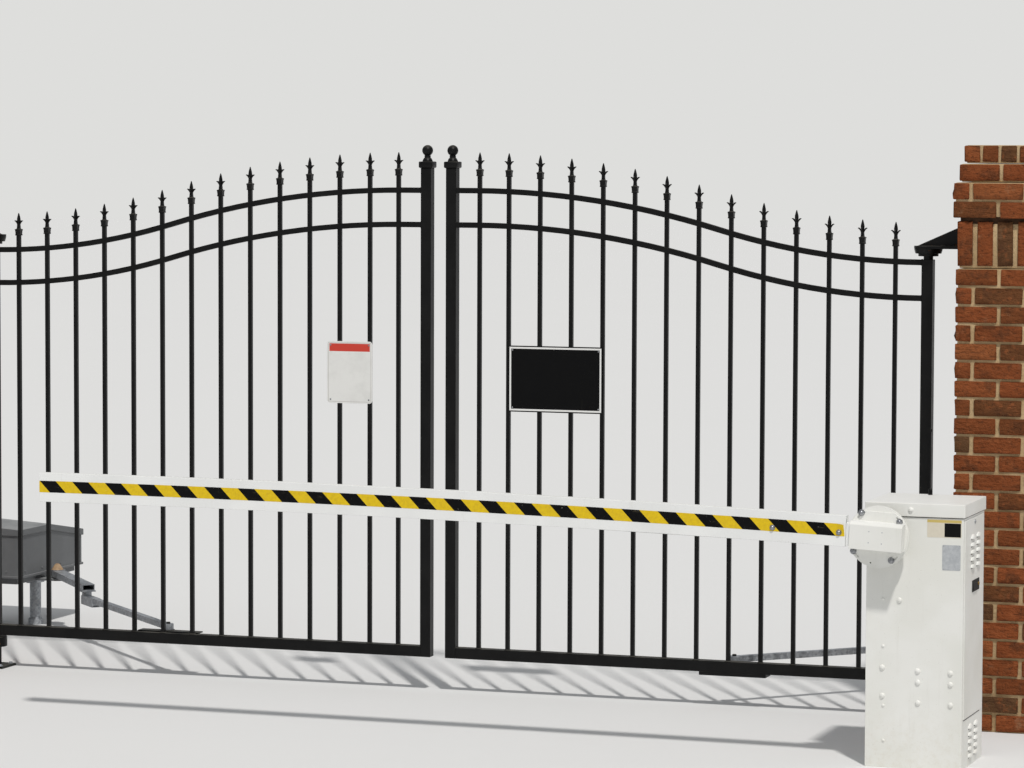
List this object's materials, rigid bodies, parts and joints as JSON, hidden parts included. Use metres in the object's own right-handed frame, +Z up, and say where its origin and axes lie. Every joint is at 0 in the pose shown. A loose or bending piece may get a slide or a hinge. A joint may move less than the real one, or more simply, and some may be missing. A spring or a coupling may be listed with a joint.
{
  "type": "automatic security gate",
  "caption": "Double-leaf ornamental steel driveway gate between brick posts, with articulated-arm swing operators and a barrier operator with a striped boom.",
  "frame": {"origin": "middle of the right-hand brick post's foot, on the ground", "axes": "+X to the right along the gate seen from the road, +Y inwards away from the road, +Z up"},
  "size_m": [6.4332, 3.3727, 2.5704],
  "materials": {
    "brick": "rough brick in pale mortar",
    "black_steel": "satin",
    "galvanised_steel": "galvanised",
    "operator_grey": "satin",
    "notice_sheet": "painted sheet",
    "panel_sheet": "painted sheet",
    "white_enamel": "satin",
    "boom_white": "painted",
    "zinc_plate": "plain",
    "antenna_whip": "plain"
  },
  "bodies": {
    "posts": {"barrier_cabinet": "white_enamel", "barrier_door": "white_enamel", "barrier_lid": "white_enamel", "antenna": "antenna_whip", "barrier_shaft_housing": "white_enamel", "right_post": "brick", "right_top_bearing": "black_steel", "right_top_bracket": "black_steel", "right_foot_bearing": "black_steel", "right_operator_base": "operator_grey", "right_operator_housing": "operator_grey", "right_operator_hood": "operator_grey", "right_operator_legs": "galvanised_steel", "left_post": "brick", "left_top_bearing": "black_steel", "left_top_bracket": "black_steel", "left_foot_bearing": "black_steel", "left_operator_base": "operator_grey", "left_operator_housing": "operator_grey", "left_operator_hood": "operator_grey", "left_operator_legs": "galvanised_steel"},
    "right_leaf": {"right_meeting_stile": "black_steel", "right_hinge_stile": "black_steel", "right_bottom_rail": "black_steel", "right_top_rail": "black_steel", "right_lower_rail": "black_steel", "right_pickets": "black_steel", "right_arm_plate": "black_steel", "right_sign": "panel_sheet"},
    "right_crank": {"right_crank": "galvanised_steel"},
    "right_link": {"right_link": "galvanised_steel"},
    "left_leaf": {"left_meeting_stile": "black_steel", "left_hinge_stile": "black_steel", "left_bottom_rail": "black_steel", "left_top_rail": "black_steel", "left_lower_rail": "black_steel", "left_pickets": "black_steel", "left_arm_plate": "black_steel", "left_sign": "notice_sheet"},
    "left_crank": {"left_crank": "galvanised_steel"},
    "left_link": {"left_link": "galvanised_steel"},
    "barrier_arm": {"barrier_hub": "white_enamel", "barrier_clamp": "white_enamel", "barrier_stub": "zinc_plate", "boom": "boom_white"}
  },
  "joints": [
    {"name": "right_leaf_swing", "type": "hinge", "parent": "posts", "child": "right_leaf", "pos_m": [-0.4942, 0, 0], "axis": [0, 0, -1], "range_deg": [0, 90]},
    {"name": "right_crank_turn", "type": "hinge", "parent": "posts", "child": "right_crank", "pos_m": [-0.1302, 1.427, 0], "axis": [0, 0, -1], "range_deg": [0, 141.8]},
    {"name": "right_link_turn", "type": "hinge", "parent": "right_leaf", "child": "right_link", "pos_m": [-1.3942, 0.062, 0], "axis": [0, 0, -1], "range_deg": [-121, 0]},
    {"name": "left_leaf_swing", "type": "hinge", "parent": "posts", "child": "left_leaf", "pos_m": [-5.1334, 0, 0], "axis": [0, 0, 1], "range_deg": [0, 90]},
    {"name": "left_crank_turn", "type": "hinge", "parent": "posts", "child": "left_crank", "pos_m": [-5.4974, 1.427, 0], "axis": [0, 0, 1], "range_deg": [0, 141.8]},
    {"name": "left_link_turn", "type": "hinge", "parent": "left_leaf", "child": "left_link", "pos_m": [-4.2334, 0.062, 0], "axis": [0, 0, 1], "range_deg": [-121, 0]},
    {"name": "barrier_lift", "type": "hinge", "parent": "posts", "child": "barrier_arm", "pos_m": [-0.3738, -1.3477, 0.962], "axis": [0, 1, 0], "range_deg": [0, 89]}
  ],
  "couplings": [
    {"joint": "right_crank_turn", "follows": "right_leaf_swing", "ratio": 1.5643},
    {"joint": "right_link_turn", "follows": "right_leaf_swing", "ratio": -1.3333},
    {"joint": "left_crank_turn", "follows": "left_leaf_swing", "ratio": 1.5643},
    {"joint": "left_link_turn", "follows": "left_leaf_swing", "ratio": -1.3333}
  ]
}
